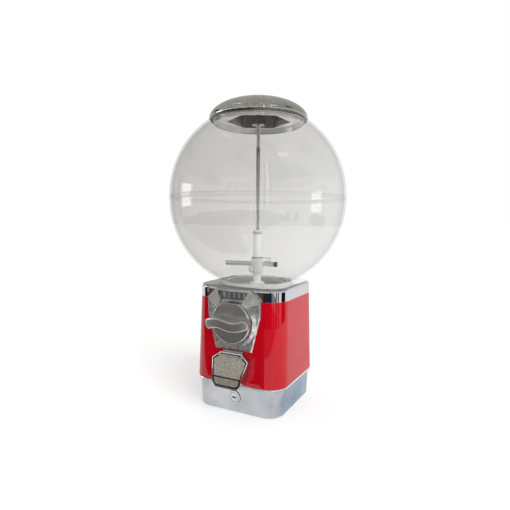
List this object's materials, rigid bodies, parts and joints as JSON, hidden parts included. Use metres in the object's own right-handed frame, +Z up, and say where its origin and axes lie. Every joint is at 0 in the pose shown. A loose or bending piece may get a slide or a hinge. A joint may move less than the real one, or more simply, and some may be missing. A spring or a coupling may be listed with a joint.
{
  "type": "gumball vending machine",
  "caption": "Countertop gumball machine: clear globe on a red square cabinet with chromed base and lid, coin knob, delivery flap and a wheel that drops sweets into the chute.",
  "frame": {"origin": "on the floor under the middle of the globe", "axes": "+Z up along the centre rod, the coin knob and flap face -Y, +X is the customer's right"},
  "size_m": [0.231, 0.231, 0.3997],
  "materials": {
    "base_chrome": "polished",
    "band_chrome": "polished",
    "lid_chrome": "polished",
    "lid_inner": "satin",
    "shell_red": "gloss lacquer",
    "globe_clear": "clear",
    "sleeve_clear": "clear",
    "mech_cast": "plated casting",
    "knob_cast": "plated casting",
    "door_cast": "plated casting",
    "lock_metal": "polished",
    "steel": "plain",
    "bush_brass": "plain",
    "white_plastic": "plain",
    "grey_plastic": "plain",
    "rubber": "plain"
  },
  "bodies": {
    "cabinet": {"base_pan": "base_chrome", "base_lock_barrel": "lock_metal", "base_lock_nut": "steel", "latch_catch": "steel", "shell": "shell_red", "top_casting": "band_chrome", "casting_screws": "steel", "globe_gasket": "sleeve_clear", "globe_lower": "globe_clear", "globe_upper": "globe_clear", "wheel_pan": "white_plastic", "outlet_shield": "white_plastic", "shield_screws": "steel", "thrust_washer": "white_plastic", "centre_rod": "steel", "rod_washer": "steel", "rod_nut": "steel", "mech_housing": "mech_cast", "coin_guide": "mech_cast", "mech_back_plate": "steel", "shaft_bush": "bush_brass", "mech_screws": "steel", "pawl_leaf": "steel", "pawl_post": "steel", "chute_duct": "grey_plastic", "chute_frame": "door_cast", "chute_lip": "door_cast", "flap_hinge_pin": "steel"},
    "knob": {"knob_disc": "knob_cast", "handle": "knob_cast", "drive_shaft": "steel", "coin_carrier": "steel", "ratchet_wheel": "steel", "drive_pinion": "white_plastic", "shaft_clip": "steel"},
    "wheel": {"product_wheel": "white_plastic", "rod_sleeve": "sleeve_clear", "agitator_hub": "sleeve_clear", "agitator_long_arm": "steel", "agitator_short_arm": "steel", "agitator_tip": "rubber", "agitator_clip": "steel"},
    "flap": {"flap": "door_cast"},
    "base_lock": {"base_lock_plug": "lock_metal", "base_lock_cam": "steel", "cam_screw": "steel"},
    "lid": {"lid_dome": "lid_chrome", "lid_liner": "lid_inner", "lid_lock_barrel": "lock_metal", "lid_lock_nut": "steel"},
    "lid_lock": {"lid_lock_plug": "lock_metal"}
  },
  "joints": [
    {"name": "handle_turn", "type": "hinge", "parent": "cabinet", "child": "knob", "pos_m": [0, -0.0715, 0.1166], "axis": [0, 1, 0], "continuous": true},
    {"name": "wheel_turn", "type": "hinge", "parent": "cabinet", "child": "wheel", "pos_m": [0, 0, 0.1278], "axis": [0, 0, 1], "continuous": true},
    {"name": "flap_swing", "type": "hinge", "parent": "cabinet", "child": "flap", "pos_m": [0, -0.06955, 0.0748], "axis": [-1, 0, 0], "range_deg": [0, 65]},
    {"name": "base_lock_turn", "type": "hinge", "parent": "cabinet", "child": "base_lock", "pos_m": [0, -0.06, 0.0195], "axis": [0, -1, 0], "range_deg": [0, 90]},
    {"name": "lid_lift", "type": "slide", "parent": "cabinet", "child": "lid", "axis": [0, 0, 1], "range_m": [0, 0.06]},
    {"name": "lid_lock_turn", "type": "hinge", "parent": "lid", "child": "lid_lock", "pos_m": [0, 0, 0.395], "axis": [0, 0, 1], "range_deg": [0, 90]}
  ],
  "couplings": [
    {"joint": "wheel_turn", "follows": "handle_turn", "ratio": 0.2}
  ]
}
